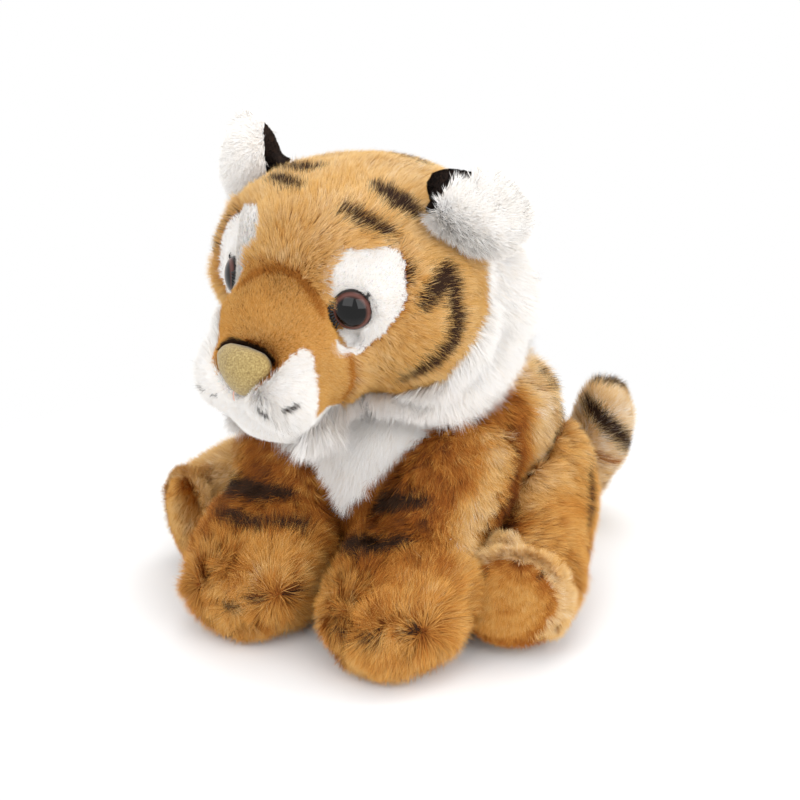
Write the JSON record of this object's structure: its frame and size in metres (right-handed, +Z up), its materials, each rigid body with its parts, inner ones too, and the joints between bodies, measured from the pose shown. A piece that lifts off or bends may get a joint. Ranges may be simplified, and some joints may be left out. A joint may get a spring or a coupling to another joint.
{
  "type": "plush tiger",
  "caption": "Sitting stuffed tiger toy with a big round head, striped golden fur, a white muzzle, bib and ruff, domed eyes and an upright tail.",
  "frame": {"origin": "middle of the flat seat, on the surface that the toy sits on", "axes": "+Z up, the body faces -Y, and +X is the animal's left side"},
  "size_m": [0.189, 0.2073, 0.1896],
  "materials": {
    "tan_plush": "long golden tan pile over a rust brown base, with soft charcoal stripes",
    "white_plush": "white pile, long on the ruff, ears and chest, sheared on the muzzle and eye patches",
    "gold_plush": "golden yellow pile of the soles",
    "sheared_plush": "short orange pile",
    "black_velour": "short black pile",
    "olive_velour": "khaki velour with a soft nap",
    "eye": "brown iris and black pupil under a clear gloss dome",
    "washer": "plain natural plastic",
    "fill": "white polyester fibre",
    "pellets": "plain cloth bag of fine pellets"
  },
  "bodies": {
    "torso": {"torso_skin": "tan_plush", "chest_bib": "white_plush", "pellet_pouch": "pellets", "torso_stuffing": "fill"},
    "neck": {"neck_stuffing": "fill"},
    "head": {"head_skin": "tan_plush", "head_stuffing": "fill", "snout_skin": "sheared_plush", "snout_stuffing": "fill", "muzzle_skin": "white_plush", "muzzle_stuffing": "fill", "nose": "olive_velour", "eye_patch_left": "white_plush", "eye_patch_right": "white_plush", "eye_left": "eye", "eye_right": "eye", "eye_washer_left": "washer", "eye_washer_right": "washer", "ruff_left": "white_plush", "ruff_right": "white_plush"},
    "ear_left": {"ear_back_left": "black_velour", "ear_lining_left": "white_plush"},
    "ear_right": {"ear_back_right": "black_velour", "ear_lining_right": "white_plush"},
    "front_leg_left": {"front_leg_left_skin": "tan_plush", "front_leg_left_stuffing": "fill"},
    "front_leg_right": {"front_leg_right_skin": "tan_plush", "front_leg_right_stuffing": "fill"},
    "hind_leg_left": {"hind_leg_left_skin": "tan_plush", "hind_leg_left_stuffing": "fill", "hind_sole_left": "gold_plush"},
    "hind_leg_right": {"hind_leg_right_skin": "tan_plush", "hind_leg_right_stuffing": "fill", "hind_sole_right": "gold_plush"},
    "tail": {"tail_skin": "tan_plush", "tail_stuffing": "fill"}
  },
  "joints": [
    {"name": "neck_turn", "type": "hinge", "parent": "torso", "child": "neck", "pos_m": [0, -0.015, 0.092], "axis": [0, 0, 1], "range_deg": [-15, 45], "stiffness_Nm_per_rad": 1},
    {"name": "neck_nod", "type": "hinge", "parent": "neck", "child": "head", "pos_m": [0, -0.015, 0.092], "axis": [-0.9767, 0.2147, 0], "range_deg": [-3, 8], "stiffness_Nm_per_rad": 2},
    {"name": "ear_fold_left", "type": "hinge", "parent": "head", "child": "ear_left", "pos_m": [0.03975, -0.0391, 0.16609], "axis": [0.5672, 0.5334, -0.6275], "range_deg": [-20, 20], "stiffness_Nm_per_rad": 0.05},
    {"name": "ear_fold_right", "type": "hinge", "parent": "head", "child": "ear_right", "pos_m": [-0.04619, -0.0202, 0.16628], "axis": [0.2925, -0.3465, 0.8913], "range_deg": [-20, 20], "stiffness_Nm_per_rad": 0.05},
    {"name": "front_lift_left", "type": "hinge", "parent": "torso", "child": "front_leg_left", "pos_m": [0.033, -0.024, 0.066], "axis": [-1, 0, 0], "range_deg": [0, 30], "stiffness_Nm_per_rad": 1},
    {"name": "front_lift_right", "type": "hinge", "parent": "torso", "child": "front_leg_right", "pos_m": [-0.033, -0.024, 0.066], "axis": [-1, 0, 0], "range_deg": [0, 30], "stiffness_Nm_per_rad": 1},
    {"name": "hind_splay_left", "type": "hinge", "parent": "torso", "child": "hind_leg_left", "pos_m": [0.03, 0.026, 0.044], "axis": [0, 0, 1], "range_deg": [0, 20], "stiffness_Nm_per_rad": 1},
    {"name": "hind_splay_right", "type": "hinge", "parent": "torso", "child": "hind_leg_right", "pos_m": [-0.03, 0.026, 0.044], "axis": [0, 0, -1], "range_deg": [0, 20], "stiffness_Nm_per_rad": 1},
    {"name": "tail_swing", "type": "hinge", "parent": "torso", "child": "tail", "pos_m": [0, 0.066, 0.02], "axis": [0, 0, 1], "range_deg": [0, 40], "stiffness_Nm_per_rad": 0.3}
  ]
}
